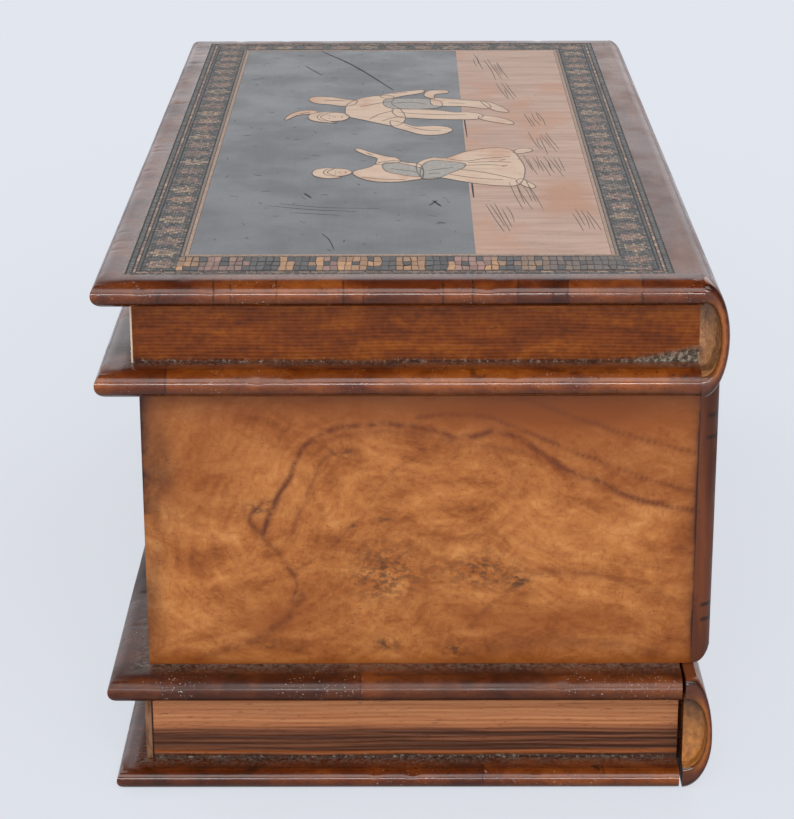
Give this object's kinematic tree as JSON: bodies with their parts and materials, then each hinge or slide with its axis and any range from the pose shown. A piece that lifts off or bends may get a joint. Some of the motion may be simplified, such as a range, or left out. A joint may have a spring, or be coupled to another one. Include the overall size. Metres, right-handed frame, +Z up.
{
  "type": "puzzle box",
  "caption": "Wooden puzzle box shaped like a stack of books, with a hinged inlaid lid, a secret drawer in the base, a volume that slides down over a hidden keyhole, and a box lock.",
  "frame": {"origin": "middle of the underside, at the centre of the bounding box's bottom", "axes": "+X along the books, spines face -Y, the lid's hinges are at +Y, +Z up"},
  "size_m": [0.3, 0.15, 0.132],
  "materials": {
    "cover_wood": "gloss",
    "figured_veneer": "satin",
    "page_wood": "satin",
    "spine_wood": "gloss",
    "inner_wood": "matte",
    "lining": "matte",
    "dark_inlay": "satin",
    "light_inlay": "satin",
    "mosaic_banding": "satin",
    "brass": "aged satin",
    "steel": "satin"
  },
  "bodies": {
    "box": {"base_bottom_board": "cover_wood", "base_bottom_moulding": "cover_wood", "base_pages_back": "page_wood", "base_pages_left": "page_wood", "base_pages_right": "page_wood", "base_top_board": "cover_wood", "base_top_moulding": "cover_wood", "carcass_back": "inner_wood", "carcass_floor": "inner_wood", "carcass_front": "inner_wood", "carcass_left": "inner_wood", "carcass_right": "inner_wood", "drawer_stop": "inner_wood", "floor_lining": "lining", "hinge_carcass_leaves": "brass", "hinge_pins": "steel", "keyhole_escutcheon": "brass", "lock_case": "brass", "lock_plate": "brass", "veneer_back": "figured_veneer", "veneer_left": "figured_veneer", "veneer_right": "figured_veneer", "volume_1": "spine_wood", "volume_2": "spine_wood", "volume_3": "spine_wood", "volume_4": "spine_wood", "volume_6": "spine_wood", "volume_7": "spine_wood", "volume_8": "spine_wood", "volume_9": "spine_wood"},
    "lid": {"hinge_lid_leaves": "brass", "lid_banding": "mosaic_banding", "lid_front_rail": "inner_wood", "lid_front_strip": "cover_wood", "lid_lining": "lining", "lid_lower_frame": "cover_wood", "lid_lower_moulding": "cover_wood", "lid_pages_back": "page_wood", "lid_pages_left": "page_wood", "lid_pages_right": "page_wood", "lid_spine": "spine_wood", "lid_top_board": "cover_wood", "lid_top_moulding": "cover_wood", "link_plate": "brass", "marquetry_dark_ground": "dark_inlay", "marquetry_light_ground": "light_inlay"},
    "drawer": {"drawer_back": "inner_wood", "drawer_bottom": "inner_wood", "drawer_front": "spine_wood", "drawer_inner_front": "inner_wood", "drawer_side_left": "inner_wood", "drawer_side_right": "inner_wood", "key": "steel", "key_cradle": "inner_wood"},
    "centre_volume": {"sliding_volume": "spine_wood", "volume_runner": "inner_wood"},
    "bolt": {"lock_bolt": "steel"}
  },
  "joints": [
    {"name": "lid_hinge", "type": "hinge", "parent": "box", "child": "lid", "pos_m": [0, 0.0674, 0.103], "axis": [-1, 0, 0], "range_deg": [0, 105]},
    {"name": "drawer_slide", "type": "slide", "parent": "box", "child": "drawer", "axis": [0, -1, 0], "range_m": [0, 0.08]},
    {"name": "volume_slide", "type": "slide", "parent": "box", "child": "centre_volume", "axis": [0, 0, -1], "range_m": [0, 0.017]},
    {"name": "bolt_slide", "type": "slide", "parent": "box", "child": "bolt", "axis": [1, 0, 0], "range_m": [0, 0.005]}
  ],
  "couplings": [
    {"joint": "volume_slide", "follows": "drawer_slide", "ratio": 0.2125}
  ]
}
